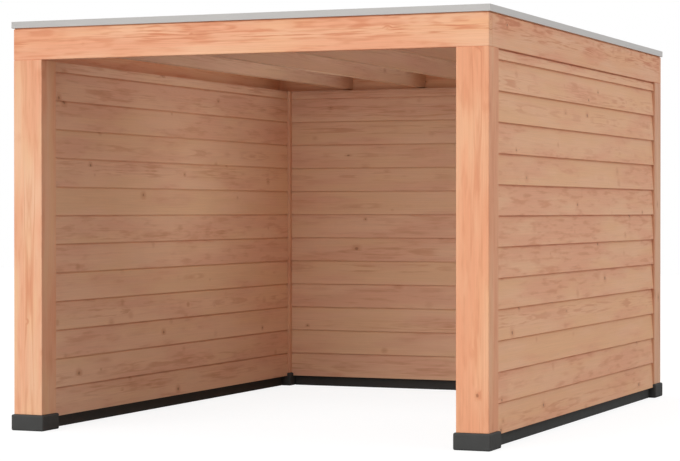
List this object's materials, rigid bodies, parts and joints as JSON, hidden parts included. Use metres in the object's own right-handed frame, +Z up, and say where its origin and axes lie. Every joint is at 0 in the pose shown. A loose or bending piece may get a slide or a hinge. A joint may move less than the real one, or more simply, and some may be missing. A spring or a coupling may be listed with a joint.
{
  "type": "flat-roofed timber garden canopy with three closed walls",
  "caption": "Flat-roofed timber garden canopy, open at the front, with boarded double-skin walls on three sides, square posts on dark feet and a metal roof trim.",
  "frame": {"origin": "on the ground at the centre of the plan, level with the undersides of the feet", "axes": "+X to the right seen from the open front, +Y from the open front to the back wall, +Z up"},
  "size_m": [3.088, 3.943, 2.5],
  "materials": {
    "base_grey": "matt dark grey",
    "post_timber": "planed softwood, clear",
    "beam_timber": "planed softwood, clear",
    "joist_timber": "planed softwood, clear",
    "outer_board_timber": "fine-sawn softwood boards",
    "inner_board_timber": "planed softwood boards",
    "frame_timber": "sawn softwood",
    "deck_timber": "wood panel",
    "nail_steel": "galvanised, dull",
    "roof_felt": "matt",
    "trim_aluminium": "satin"
  },
  "bodies": {
    "root": {"foot_front_left": "base_grey", "foot_front_right": "base_grey", "foot_back_left": "base_grey", "foot_back_right": "base_grey", "plinth_left": "base_grey", "plinth_right": "base_grey", "plinth_back": "base_grey", "post_front_left": "post_timber", "post_front_right": "post_timber", "post_back_left": "post_timber", "post_back_right": "post_timber", "beam_front": "beam_timber", "beam_back": "beam_timber", "beam_left": "beam_timber", "beam_right": "beam_timber", "joist_left_outer": "joist_timber", "joist_left_inner": "joist_timber", "joist_right_inner": "joist_timber", "joist_right_outer": "joist_timber", "left_wall_outer_boards": "outer_board_timber", "left_wall_frame": "frame_timber", "left_wall_inner_boards": "inner_board_timber", "right_wall_outer_boards": "outer_board_timber", "right_wall_frame": "frame_timber", "right_wall_inner_boards": "inner_board_timber", "back_wall_outer_boards": "outer_board_timber", "back_wall_frame": "frame_timber", "back_wall_inner_boards": "inner_board_timber", "roof_deck": "deck_timber", "roof_felt": "roof_felt", "roof_trim_front": "trim_aluminium", "roof_trim_back": "trim_aluminium", "roof_trim_left": "trim_aluminium", "roof_trim_right": "trim_aluminium"}
  },
  "joints": []
}
